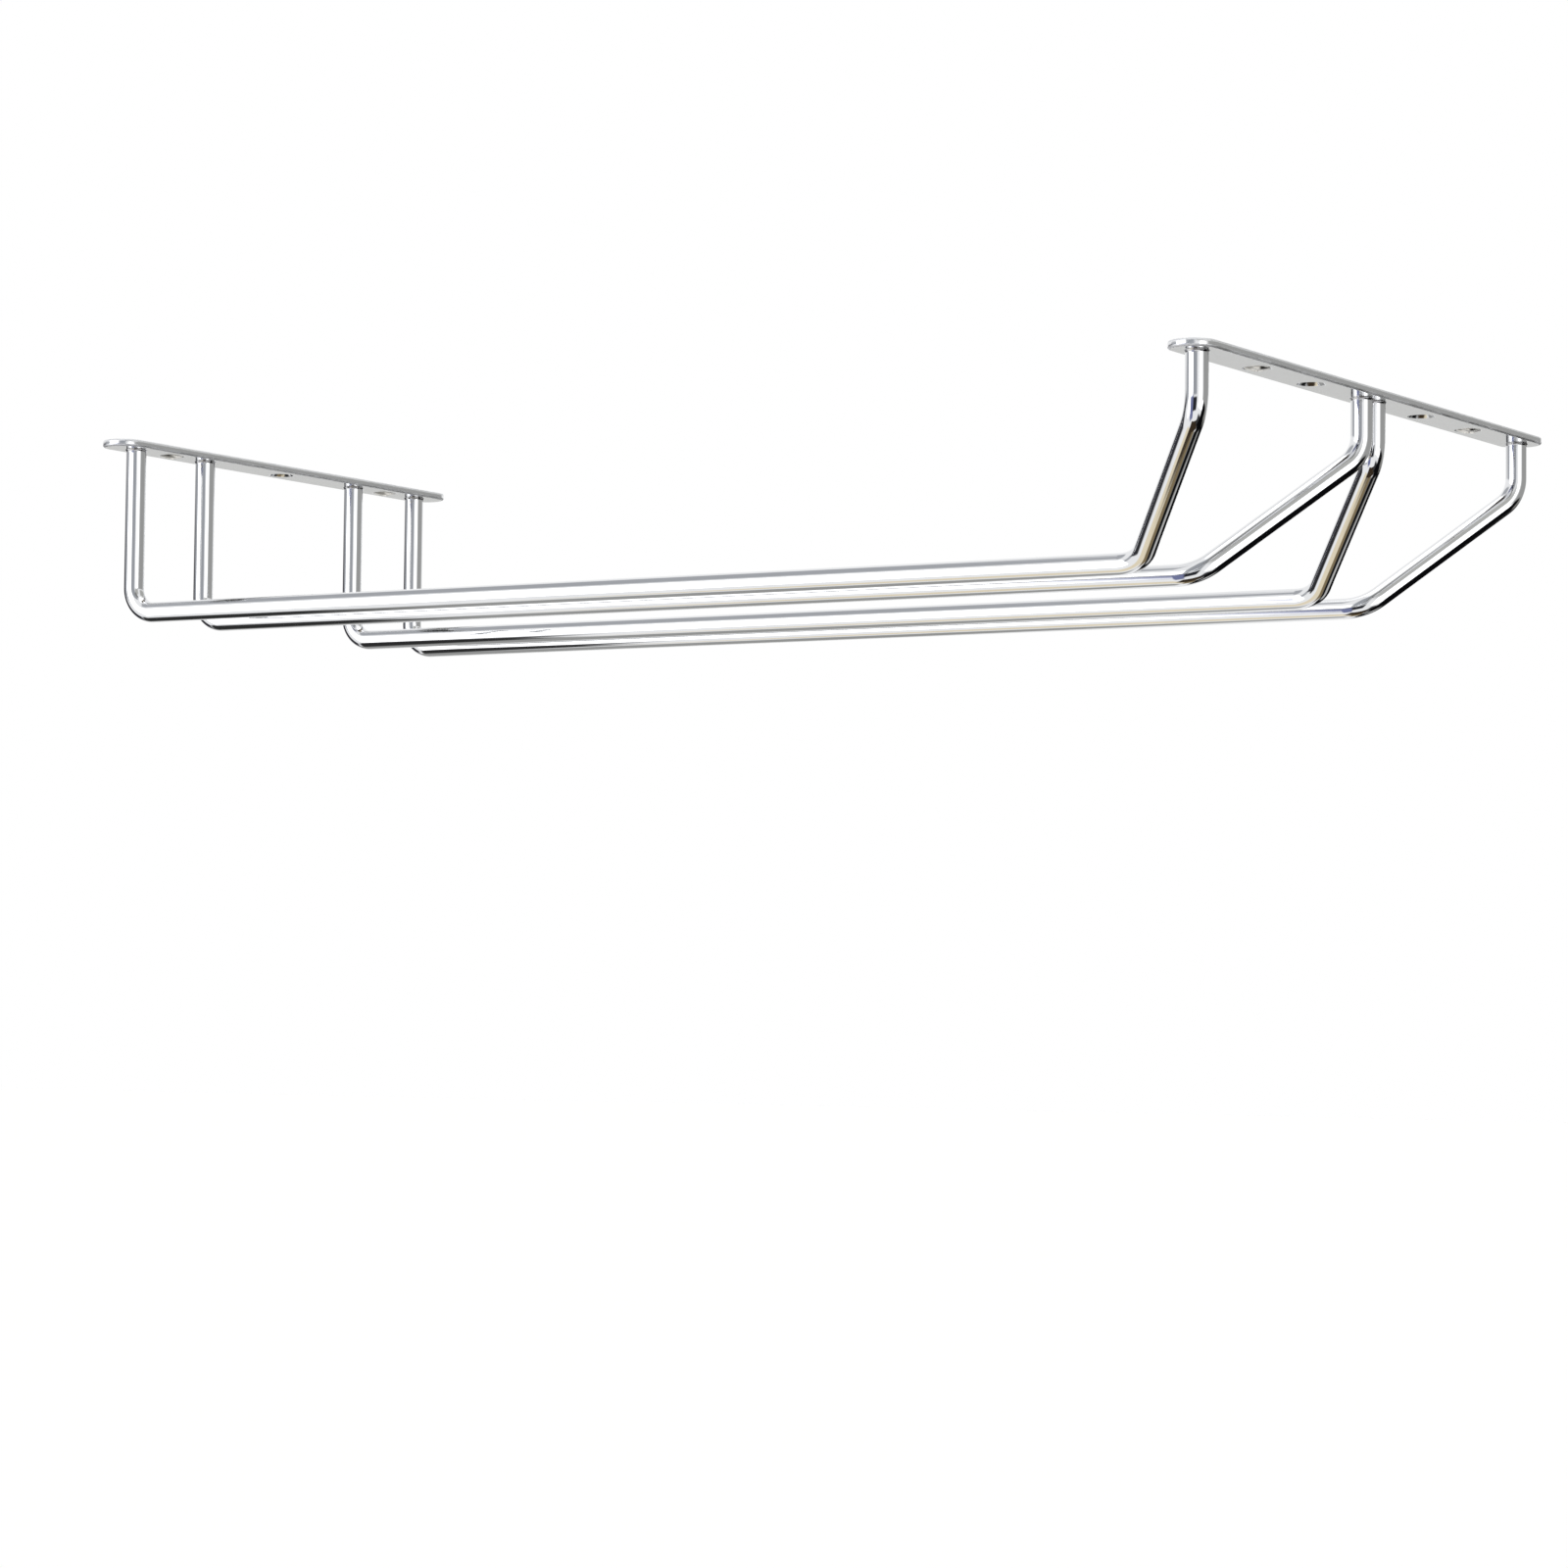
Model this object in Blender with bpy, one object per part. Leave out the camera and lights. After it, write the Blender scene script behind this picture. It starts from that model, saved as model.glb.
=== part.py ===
"""Hanging wine glass rack with two rows.

Four round wires are bent on a former, and their ends are butt-welded to the undersides of two flat bars.
The bars lie against a cabinet and are fixed with raised countersunk screws.

Units are metres, and +Z is up. The origin is in the plane of the bars' top faces, midway between the bars.
X runs across the rack, and -X is the left side for someone who stands at the front.
Y runs from the front, where the rows are open, to the rear.
"""

import math

import bmesh
import bpy
from mathutils import Matrix, Vector

MM = 0.001

# The rack as a whole
RACK_WIDTH = 205.0 * MM  # the length of the front bar, which is the longer one
BAR_SPACING = 340.0 * MM  # from the front bar's centre line to the rear bar's
DROP = 45.0 * MM  # from the bars' undersides to the axes of the runs
SLOT_WIDTH = 25.0 * MM  # clear way between the two runs of a row
INNER_WIRE_GAP = 2.0 * MM  # between the two inner wires where they meet the front bar

# The flat bars
BAR_WIDTH = 12.0 * MM
BAR_THICKNESS = 2.0 * MM
BAR_EDGE_RADIUS = 0.35 * MM
FRONT_OVERHANG = 7.75 * MM  # from the axes of the outer wires to the front bar's ends
REAR_OVERHANG = 10.5 * MM

# The wires
WIRE_DIAMETER = 5.5 * MM
REAR_BEND_RADIUS = 7.0 * MM
LOWER_BEND_RADIUS = 10.0 * MM
UPPER_BEND_RADIUS = 9.0 * MM
MOUTH_REACH = 30.0 * MM  # from the front bar's centre line back to where the runs start to climb
FRONT_LEG = 13.8 * MM  # from the front bar's underside down to the corner of the climb

# The welds
WELD_CLEARANCE = 0.3 * MM
UPSET_HEIGHT = 0.7 * MM
UPSET_WIDTH = 0.3 * MM

# The screws
SCREW_LENGTH = 10.0 * MM
SHANK_DIAMETER = 3.5 * MM
SCREW_POINT_LENGTH = 2.6 * MM
SCREW_TIP_DIAMETER = 0.4 * MM
HEAD_DIAMETER = 6.4 * MM
HEAD_CONE_ANGLE = math.radians(90.0)
HEAD_DOME_HEIGHT = 0.75 * MM
RECESS_SPAN = 3.5 * MM
RECESS_SLOT = 0.85 * MM
RECESS_DEPTH = 1.3 * MM
RECESS_FLOOR_SHARE = 0.45

# The screw holes
SEAT_CLEARANCE = 0.3 * MM  # between a screw's head and its countersink
SHANK_CLEARANCE = 0.35 * MM
FRONT_HOLE_SHARES = (0.32, 0.65)  # of the way from the inner wire to the outer one
CUT_OVERRUN = 1.0 * MM

# Facets
WIRE_SIDES = 24
BEND_STEP_ANGLE = math.radians(10.0)
BAR_END_STEPS = 16
HOLE_SIDES = 28
SCREW_SIDES = 24
DOME_STEPS = 4
MERGE_DISTANCE = 0.001 * MM
SHARP_ANGLE = math.radians(35.0)

# The finishes
CHROME_COLOUR = (0.80, 0.81, 0.83, 1.0)
SCREW_COLOUR = (0.72, 0.73, 0.75, 1.0)
BAR_ROUGHNESS = 0.08
WIRE_ROUGHNESS = 0.06
SCREW_ROUGHNESS = 0.18

# Heights, with the bars' top faces at zero
BAR_UNDERSIDE = -BAR_THICKNESS
WIRE_END_HEIGHT = BAR_UNDERSIDE - WELD_CLEARANCE
RUN_HEIGHT = BAR_UNDERSIDE - DROP

# Places along the rack
FRONT_Y = -BAR_SPACING / 2
REAR_Y = BAR_SPACING / 2

# Places across the rack, on its right half
OUTER_MOUTH_X = RACK_WIDTH / 2 - FRONT_OVERHANG
INNER_MOUTH_X = (INNER_WIRE_GAP + WIRE_DIAMETER) / 2
MOUTH_PITCH = OUTER_MOUTH_X - INNER_MOUTH_X
ROW_MIDDLE = (OUTER_MOUTH_X + INNER_MOUTH_X) / 2
SLOT_PITCH = SLOT_WIDTH + WIRE_DIAMETER
OUTER_RUN_X = ROW_MIDDLE + SLOT_PITCH / 2
FRONT_HOLES_X = [INNER_MOUTH_X + MOUTH_PITCH * share for share in FRONT_HOLE_SHARES]


def clear_scene():
    """Removes what the startup file holds."""
    for obj in list(bpy.data.objects):
        bpy.data.objects.remove(obj, do_unlink=True)


def metal(name, colour, roughness):
    """A plated metal with its own colour and polish."""
    material = bpy.data.materials.new(name)
    material.use_nodes = True
    shader = material.node_tree.nodes["Principled BSDF"]
    shader.inputs["Base Color"].default_value = colour
    shader.inputs["Metallic"].default_value = 1.0
    shader.inputs["Roughness"].default_value = roughness
    return material


def add_object(name, bm, material=None):
    """Puts a finished mesh into the scene under its name, with its faces pointing out."""
    bmesh.ops.recalc_face_normals(bm, faces=bm.faces)
    mesh = bpy.data.meshes.new(name)
    bm.to_mesh(mesh)
    bm.free()
    obj = bpy.data.objects.new(name, mesh)
    bpy.context.scene.collection.objects.link(obj)
    if material:
        mesh.materials.append(material)
    return obj


def smooth(obj):
    """Shades round faces smooth, and keeps the corners crisp."""
    obj.data.shade_smooth()
    obj.data.set_sharp_from_angle(angle=SHARP_ANGLE)


def as_cutter(obj):
    """Keeps a tool body out of the render."""
    obj.hide_render = True
    obj.display_type = "WIRE"
    return obj


def cut(obj, tool):
    """Cuts a closed tool body out of an object."""
    modifier = obj.modifiers.new("Cut " + tool.name, "BOOLEAN")
    modifier.operation = "DIFFERENCE"
    modifier.solver = "EXACT"
    modifier.object = tool


def mesh_parts(geom):
    """The vertices and the edges among what a mesh operator returned."""
    verts = [item for item in geom if isinstance(item, bmesh.types.BMVert)]
    edges = [item for item in geom if isinstance(item, bmesh.types.BMEdge)]
    return verts, edges


def turned(name, profile, sides, material=None):
    """Turns a profile of (radius, height) pairs about Z. The profile starts and ends on the axis."""
    bm = bmesh.new()
    verts = [bm.verts.new((radius, 0.0, height)) for radius, height in profile]
    edges = [bm.edges.new(pair) for pair in zip(verts, verts[1:])]
    bmesh.ops.spin(
        bm,
        geom=verts + edges,
        cent=(0.0, 0.0, 0.0),
        axis=(0.0, 0.0, 1.0),
        angle=math.tau,
        steps=sides,
        use_merge=True,
    )
    bmesh.ops.remove_doubles(bm, verts=bm.verts, dist=MERGE_DISTANCE)
    return add_object(name, bm, material)


def hole_tool(name, place_x, place_y):
    """A drill with a countersink, which cuts one screw hole from the underside.

    The countersink is the head's own cone, set off by the clearance between the two.
    """
    half_angle = HEAD_CONE_ANGLE / 2
    hole_radius = SHANK_DIAMETER / 2 + SHANK_CLEARANCE
    sink_radius = HEAD_DIAMETER / 2 + SEAT_CLEARANCE / math.cos(half_angle)
    sink_top = BAR_UNDERSIDE + (sink_radius - hole_radius) / math.tan(half_angle)
    tool_top = max(sink_top, 0.0) + CUT_OVERRUN
    tool_bottom = BAR_UNDERSIDE - CUT_OVERRUN
    profile = [
        (0.0, tool_top),
        (hole_radius, tool_top),
        (hole_radius, sink_top),
        (sink_radius, BAR_UNDERSIDE),
        (sink_radius, tool_bottom),
        (0.0, tool_bottom),
    ]
    tool = turned(name, profile, HOLE_SIDES)
    tool.location = (place_x, place_y, 0.0)
    return as_cutter(tool)


def bar_outline(length):
    """The round-ended outline of a flat bar, anticlockwise, centred on the origin."""
    radius = BAR_WIDTH / 2
    end_centre = length / 2 - radius
    points = []
    for side, start in ((1.0, -math.pi / 2), (-1.0, math.pi / 2)):
        for step in range(BAR_END_STEPS + 1):
            angle = start + math.pi * step / BAR_END_STEPS
            points.append((side * end_centre + radius * math.cos(angle), radius * math.sin(angle)))
    return points


def flat_bar(name, length, place_y, hole_places, material):
    """One mounting bar, with its top face at height zero and a countersunk hole at each place."""
    bm = bmesh.new()
    outline = bar_outline(length)
    face = bm.faces.new([bm.verts.new((x, y, BAR_UNDERSIDE)) for x, y in outline])
    raised = bmesh.ops.extrude_face_region(bm, geom=[face])
    top = mesh_parts(raised["geom"])[0]
    bmesh.ops.translate(bm, vec=(0.0, 0.0, BAR_THICKNESS), verts=top)
    rims = [edge for edge in bm.edges if len({vert.co.z > BAR_UNDERSIDE / 2 for vert in edge.verts}) == 1]
    bmesh.ops.bevel(
        bm, geom=rims, offset=BAR_EDGE_RADIUS, offset_type="OFFSET", segments=2, profile=0.5, affect="EDGES"
    )
    bar = add_object(name, bm, material)
    bar.location.y = place_y
    for number, place_x in enumerate(hole_places, 1):
        cut(bar, hole_tool(f"{name}_hole_{number}", place_x, place_y))
    smooth(bar)
    return bar


def corner_bend(before, corner, after, radius):
    """The bend at a corner: where it starts and ends, its centre, its axis and its angle."""
    towards = (corner - before).normalized()
    away = (after - corner).normalized()
    angle = towards.angle(away)
    setback = radius * math.tan(angle / 2)
    axis = towards.cross(away).normalized()
    start = corner - towards * setback
    end = corner + away * setback
    centre = start + axis.cross(towards) * radius
    return start, end, centre, axis, angle


def draw_on(bm, ring, offset):
    """Draws the open end of a tube on by an offset, and gives its new end."""
    verts, edges = mesh_parts(bmesh.ops.extrude_edge_only(bm, edges=ring)["geom"])
    bmesh.ops.translate(bm, vec=offset, verts=verts)
    return edges


def widen(bm, ring, centre, share):
    """Scales the open end of a tube about its centre."""
    verts = list({vert for edge in ring for vert in edge.verts})
    bmesh.ops.scale(bm, vec=(share, share, share), space=Matrix.Translation(-centre), verts=verts)


def bend_on(bm, ring, centre, axis, angle):
    """Bends the open end of a tube round a former, and gives its new end."""
    verts = list({vert for edge in ring for vert in edge.verts})
    steps = max(1, round(angle / BEND_STEP_ANGLE))
    spun = bmesh.ops.spin(bm, geom=verts + ring, cent=centre, axis=axis, angle=angle, steps=steps)
    return mesh_parts(spun["geom_last"])[1]


def bent_wire(name, corners, bend_radii, material):
    """A round wire drawn along its corners, bent at each one, and upset at each end by its weld."""
    wire_radius = WIRE_DIAMETER / 2
    upset_radius = wire_radius + UPSET_WIDTH
    from_start = (corners[1] - corners[0]).normalized()
    from_end = (corners[-2] - corners[-1]).normalized()
    first_upset = corners[0] + from_start * UPSET_HEIGHT
    last_upset = corners[-1] + from_end * UPSET_HEIGHT

    bm = bmesh.new()
    facing = from_start.to_track_quat("Z", "Y").to_matrix().to_4x4()
    end_place = Matrix.Translation(corners[0]) @ facing
    bmesh.ops.create_circle(bm, segments=WIRE_SIDES, radius=upset_radius, matrix=end_place)
    ring = list(bm.edges)
    bmesh.ops.contextual_create(bm, geom=ring)
    ring = draw_on(bm, ring, first_upset - corners[0])
    widen(bm, ring, first_upset, wire_radius / upset_radius)
    place = first_upset
    for before, corner, after, radius in zip(corners, corners[1:], corners[2:], bend_radii):
        start, end, centre, axis, angle = corner_bend(before, corner, after, radius)
        ring = draw_on(bm, ring, start - place)
        ring = bend_on(bm, ring, centre, axis, angle)
        place = end
    ring = draw_on(bm, ring, last_upset - place)
    ring = draw_on(bm, ring, corners[-1] - last_upset)
    widen(bm, ring, corners[-1], upset_radius / wire_radius)
    bmesh.ops.contextual_create(bm, geom=ring)
    wire = add_object(name, bm, material)
    smooth(wire)
    return wire


def rack_wire(name, side, outward, material):
    """One wire, from its rear weld to its front one.

    side is -1 on the left and 1 on the right. outward is 1 on an outer wire and -1 on an inner one.
    """
    run_x = side * (ROW_MIDDLE + outward * SLOT_PITCH / 2)
    mouth_x = side * (ROW_MIDDLE + outward * MOUTH_PITCH / 2)
    corners = [
        Vector((run_x, REAR_Y, WIRE_END_HEIGHT)),
        Vector((run_x, REAR_Y, RUN_HEIGHT)),
        Vector((run_x, FRONT_Y + MOUTH_REACH, RUN_HEIGHT)),
        Vector((mouth_x, FRONT_Y, BAR_UNDERSIDE - FRONT_LEG)),
        Vector((mouth_x, FRONT_Y, WIRE_END_HEIGHT)),
    ]
    radii = [REAR_BEND_RADIUS, LOWER_BEND_RADIUS, UPPER_BEND_RADIUS]
    return bent_wire(name, corners, radii, material)


def recess_tool(name):
    """A cross that tapers upwards, which cuts the recess into a screw's head."""
    half_span = RECESS_SPAN / 2
    half_slot = RECESS_SLOT / 2
    tool_bottom = -HEAD_DOME_HEIGHT - CUT_OVERRUN
    bm = bmesh.new()
    verts = []
    for quarter in range(4):
        turn = Matrix.Rotation(quarter * math.pi / 2, 3, "Z")
        for x, y in ((half_span, -half_slot), (half_span, half_slot), (half_slot, half_slot)):
            verts.append(bm.verts.new(turn @ Vector((x, y, tool_bottom))))
    raised = bmesh.ops.extrude_face_region(bm, geom=[bm.faces.new(verts)])
    floor = mesh_parts(raised["geom"])[0]
    bmesh.ops.translate(bm, vec=(0.0, 0.0, CUT_OVERRUN + RECESS_DEPTH), verts=floor)
    bmesh.ops.scale(bm, vec=(RECESS_FLOOR_SHARE, RECESS_FLOOR_SHARE, 1.0), verts=floor)
    return as_cutter(add_object(name, bm))


def screw(name, place_x, place_y, material):
    """A raised countersunk screw with a cross recess. Its head's rim is level with the bar's underside."""
    head_radius = HEAD_DIAMETER / 2
    shank_radius = SHANK_DIAMETER / 2
    cone_height = (head_radius - shank_radius) / math.tan(HEAD_CONE_ANGLE / 2)
    dome_radius = (head_radius**2 + HEAD_DOME_HEIGHT**2) / (2 * HEAD_DOME_HEIGHT)
    dome_centre = dome_radius - HEAD_DOME_HEIGHT
    profile = []
    for step in range(DOME_STEPS + 1):
        radius = head_radius * step / DOME_STEPS
        profile.append((radius, dome_centre - math.sqrt(dome_radius**2 - radius**2)))
    profile += [
        (shank_radius, cone_height),
        (shank_radius, SCREW_LENGTH - SCREW_POINT_LENGTH),
        (SCREW_TIP_DIAMETER / 2, SCREW_LENGTH),
        (0.0, SCREW_LENGTH),
    ]
    body = turned(name, profile, SCREW_SIDES, material)
    body.location = (place_x, place_y, BAR_UNDERSIDE)
    recess = recess_tool(name + "_recess")
    recess.location = body.location
    cut(body, recess)
    smooth(body)
    return body


def build():
    """Makes the whole rack."""
    clear_scene()
    bar_metal = metal("chrome_bar", CHROME_COLOUR, BAR_ROUGHNESS)
    wire_metal = metal("chrome_wire", CHROME_COLOUR, WIRE_ROUGHNESS)
    screw_metal = metal("plated_screw", SCREW_COLOUR, SCREW_ROUGHNESS)

    front_holes = [side * place for side in (-1, 1) for place in FRONT_HOLES_X]
    rear_holes = [-ROW_MIDDLE, 0.0, ROW_MIDDLE]
    rear_length = 2 * (OUTER_RUN_X + REAR_OVERHANG)
    flat_bar("front_plate", RACK_WIDTH, FRONT_Y, front_holes, bar_metal)
    flat_bar("rear_plate", rear_length, REAR_Y, rear_holes, bar_metal)

    for side_name, side in (("left", -1), ("right", 1)):
        rack_wire(f"{side_name}_outer_wire", side, 1, wire_metal)
        rack_wire(f"{side_name}_inner_wire", side, -1, wire_metal)
        screw(f"front_{side_name}_screw", side * max(FRONT_HOLES_X), FRONT_Y, screw_metal)
        screw(f"rear_{side_name}_screw", side * ROW_MIDDLE, REAR_Y, screw_metal)


build()
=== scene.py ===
"""Dresses the hanging wine glass rack: bent chrome wires welded to two flat bars, with the screws that hold it.

Laid out as a Blender add-on and run as a script. Everything is in metres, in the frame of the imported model: the
bars' top faces lie in z = 0, against the cabinet, -Y is the front, where the rows are open, and +X is to the right
of someone who stands there.
"""

from math import asin, atan2, cos, hypot, pi, radians, sin, tan

import bpy
from bpy.props import FloatProperty, FloatVectorProperty, IntProperty, PointerProperty
from mathutils import Matrix, Vector


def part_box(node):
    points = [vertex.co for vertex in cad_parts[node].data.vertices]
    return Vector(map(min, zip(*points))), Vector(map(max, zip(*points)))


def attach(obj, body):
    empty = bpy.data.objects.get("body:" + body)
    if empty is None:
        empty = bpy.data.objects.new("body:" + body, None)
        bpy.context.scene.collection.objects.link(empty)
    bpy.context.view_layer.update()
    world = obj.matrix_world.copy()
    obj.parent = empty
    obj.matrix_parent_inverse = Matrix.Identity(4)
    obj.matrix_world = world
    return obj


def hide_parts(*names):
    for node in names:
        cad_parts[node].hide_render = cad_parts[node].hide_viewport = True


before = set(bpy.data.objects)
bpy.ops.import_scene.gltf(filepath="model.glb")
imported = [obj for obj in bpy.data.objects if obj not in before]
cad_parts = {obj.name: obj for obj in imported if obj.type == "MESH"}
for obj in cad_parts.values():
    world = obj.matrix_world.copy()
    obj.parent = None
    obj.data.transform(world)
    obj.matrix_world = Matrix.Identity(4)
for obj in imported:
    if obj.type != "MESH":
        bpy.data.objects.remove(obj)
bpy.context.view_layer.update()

bl_info = {
    "name": "Hanging Glass Rack",
    "version": (1, 0, 0),
    "blender": (4, 5, 0),
    "location": "3D View > Sidebar > Glass Rack",
    "description": "Bends, welds, drills and screws a chrome rack for under a cabinet, and sets up its studio",
    "category": "Object",
}

MM = 0.001
BODY = "root"
WIRES = ("left_outer_wire", "left_inner_wire", "right_inner_wire", "right_outer_wire")
BARS = ("rear_plate", "front_plate")
SCREWS = ("rear_left_screw", "rear_right_screw", "front_left_screw", "front_right_screw")

# Fineness of the round shapes
BAR_END_SIDES = 128
BAR_EDGE_STEPS = 8
HOLE_SIDES = 96
RIM_STEPS = 3
COLLAR_SIDES = 40
SCREW_SIDES = 48
DOME_STEPS = 8
WELL_SIDES = 32
THREAD_STEPS = 32

# Tolerances and tool lengths
MERGE = 0.002 * MM  # points closer than this become one
MIRROR_MERGE = 0.005 * MM
LEVEL = 0.001 * MM  # heights closer than this are level
RING_SLACK = 0.01 * MM  # how far a wire's point may lie from its ring
RIM_SLACK = 0.02 * MM  # how far a rim's point may lie from its circle
COPLANAR = radians(0.1)
DRILL_OVERRUN = 0.6 * MM
RECESS_OVERRUN = 0.3 * MM

# The weld bead
BEAD_INSIDE = 0.25 * MM  # how far it reaches into the wire
BEAD_ROOT = 0.03 * MM  # how far it reaches into the bar
BEAD_LIP = 0.02 * MM  # its upright edge below the bar
BEAD_TOE = 0.05 * MM  # how deep its lower end dips into the wire
BEAD_BACK = 0.9  # where its inner side ends, as a share of its height
BEAD_SIDE = ((0.86, 0.16), (0.62, 0.28), (0.40, 0.46), (0.22, 0.66), (0.08, 0.86))  # shares of flare and height
WANDER_WAVES = ((3, 0.0, 0.5), (5, 1.3, 0.3), (9, 0.4, 0.2))  # waves round the bead, their phase and their share
WANDER_START, WANDER_FULL = 0.02 * MM, 0.4 * MM  # distances from the wire
TURN_PER_WIRE, TURN_AT_FRONT = 1.7, 0.9  # in radians, so that no two beads wander alike

# The screw
DOME_SHARE = 0.97  # of the dome's arc, before the rim's rounding
RIM_START, RIM_END = 0.02 * MM, 0.12 * MM  # the upright rim, above the dome
NECK_FLARE, NECK_WAIST, NECK_LENGTH = 0.12 * MM, 0.55 * MM, 0.9 * MM
POINT_RADIUS, POINT_HEIGHT = 0.55, 0.45  # halfway down the point, as shares of the core and of the point
TIP_RADIUS, TIP_HEIGHT = 0.14 * MM, 0.12 * MM
RECESS_TURN = radians(38)
RECESS_TAPER = 0.55
WELL_SIDE = ((1.0, 0.0), (0.72, 0.9), (0.0, 1.15))  # shares of the recess's slot and of its depth
THREAD_START = 0.35 * MM  # past the head's cone
THREAD_END = 0.7 * MM  # before the tip
THREAD_ROOT = 0.1 * MM  # how deep the ridge is rooted in the core
THREAD_HALF_BASE = 0.24  # of the pitch
CREST_WEAR = 0.03 * MM
RUN_IN = 1.2 * MM  # over which the ridge rises to its full height
RUN_IN_SHARE = 0.3  # of its height, where it starts
TIP_SHARE = 0.05  # of its width, where it ends

# Which way a bar's faces point, as the upright share of their normals
SINK_LIMIT = 0.98  # a countersink's faces lie below it
EDGE_LIMITS = (0.1, 0.99)  # a rolled edge's faces lie between them

# Handling haze and fine lines on the plated steel
HAZE_GAP = 9 * MM
HAZE_GLOSS, HAZE_DULL = 0.75, 1.6  # its clearest and dullest parts, as shares of the roughness
HAZE_TONE = 0.955  # how dark it makes the plate
LINE_GLOSS, LINE_DULL = -0.012, 0.02  # what the lines add to the roughness

# The stage
RACK_MIDDLE = Vector((0, 0, -0.03))
FLOOR_SIZE = 24
FIBRE_GAP = 2 * MM  # coarser than real paper's, which is too fine to show
BOARD_SIZE = 0.56
BOARD_PLACE = (-0.03, -0.02, 0.00002)
CARD_STEPS = (24, 12)
SUN_TILT = (radians(8), radians(-10), 0)
SUN_WIDTH = radians(3)  # as seen from the rack, which softens the shadow's edge


def srgb(code):
    """A colour written as sRGB hex, turned to linear RGB."""
    parts = [int(code[i:i + 2], 16) / 255 for i in (1, 3, 5)]
    return tuple(c / 12.92 if c <= 0.04045 else ((c + 0.055) / 1.055) ** 2.4 for c in parts)


def distance(name, description, default):
    return FloatProperty(name=name, description=description, default=default, min=0.0, precision=5,
                         subtype="DISTANCE", unit="LENGTH")


def turn_angle(name, description, default, **limits):
    return FloatProperty(name=name, description=description, default=default, subtype="ANGLE", unit="ROTATION",
                         **limits)


def colour(name, description, code):
    return FloatVectorProperty(name=name, description=description, default=srgb(code), size=3, min=0.0, max=1.0,
                               subtype="COLOR")


def share(name, description, default):
    return FloatProperty(name=name, description=description, default=default, min=0.0, max=1.0, subtype="FACTOR")


class RackWireSizes(bpy.types.PropertyGroup):
    """How the four wires are bent."""

    diameter: distance("Wire diameter", "Thickness of the drawn wire", 5.5 * MM)
    upset: distance("Upset", "How far the upset at a wire's end stands proud in the CAD model", 0.3 * MM)
    rear_bend: distance("Rear bend", "Radius of the wire's middle where it turns from the leg to the run", 7 * MM)
    lower_bend: distance("Lower bend", "Radius of the wire's middle where the run starts to climb", 10 * MM)
    upper_bend: distance("Upper bend", "Radius of the wire's middle where the climb ends in the front leg", 9 * MM)
    mouth_reach: distance("Mouth reach", "How far the climb comes forward", 30 * MM)
    front_leg: distance("Front leg", "Length of the front leg below the bar, to the corner", 13.8 * MM)
    sink: distance("Weld sink", "How deep the melted end sits in the bar", 0.05 * MM)
    sides: IntProperty(name="Sides", description="Faces round the wire", default=64, min=12, max=128)
    bend_step: turn_angle("Bend step", "Angle of one step of a bend", radians(4), min=radians(1), max=radians(15))


class RackWeldSizes(bpy.types.PropertyGroup):
    """The squeezed-out beads between wires and bars."""

    flare: distance("Flare", "How far the bead spreads on the bar, beyond the wire", 0.32 * MM)
    height: distance("Height", "How far down the wire the bead reaches", 0.5 * MM)
    unevenness: distance("Unevenness", "How much the bead's edge wanders", 0.04 * MM)


class RackBarSizes(bpy.types.PropertyGroup):
    """The two flat bars and their countersunk holes."""

    edge: distance("Edge radius", "Rolled radius along the bar's edges", 0.7 * MM)
    hole: distance("Hole radius", "Radius of the drilled hole", 2.1 * MM)
    countersink: distance("Countersink radius", "Radius of the countersink's rim on the underside", 3.62 * MM)
    rim: distance("Rim softness", "How far plating and deburring have softened the rims", 0.10 * MM)
    rear_holes: distance("Rear holes", "Distance of the rear bar's outer holes from its middle", 49.25 * MM)
    front_screwed: distance("Front screwed holes", "Distance of the front bar's outer holes", 62.9 * MM)
    front_spare: distance("Front spare holes", "Distance of the front bar's inner holes", 32.87 * MM)


class RackScrewSizes(bpy.types.PropertyGroup):
    """The countersunk cross-recess screws."""

    head: distance("Head radius", "Radius of the head's rim", 3.2 * MM)
    dome: distance("Dome", "Height of the raised head below its rim", 0.75 * MM)
    shank: distance("Thread radius", "Radius over the thread's crests", 1.75 * MM)
    core: distance("Core radius", "Radius of the thread's root", 1.2 * MM)
    pitch: distance("Pitch", "Distance between the thread's turns", 1.4 * MM)
    point: distance("Point", "Length of the tapered point", 2.6 * MM)
    recess_span: distance("Recess span", "Width of the cross over two wings", 3.5 * MM)
    recess_slot: distance("Recess slot", "Width of one wing", 0.85 * MM)
    recess_depth: distance("Recess depth", "Depth of the recess from the dome's top", 1.3 * MM)


class RackFinishes(bpy.types.PropertyGroup):
    """Colours and gloss of the plated steel."""

    chrome: colour("Chrome", "Bright chrome plate", "#E7E8EA")
    weld: colour("Welded chrome", "Chrome over the slightly rougher weld", "#D8D8DA")
    screw: colour("Screw plate", "Nickel-coloured plate of the screws", "#D2CFC9")
    wire_roughness: share("Wire roughness", "Micro-roughness of the plated wire", 0.055)
    bar_roughness: share("Bar roughness", "Micro-roughness of the polished bar", 0.14)
    edge_roughness: share("Edge roughness", "Micro-roughness of the bar's rolled edges", 0.6)
    weld_roughness: share("Weld roughness", "Micro-roughness of the plated weld", 0.12)
    sink_roughness: share("Countersink roughness", "Micro-roughness of the turned countersinks", 0.13)
    screw_roughness: share("Screw roughness", "Micro-roughness of the barrel-plated screws", 0.13)


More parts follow.
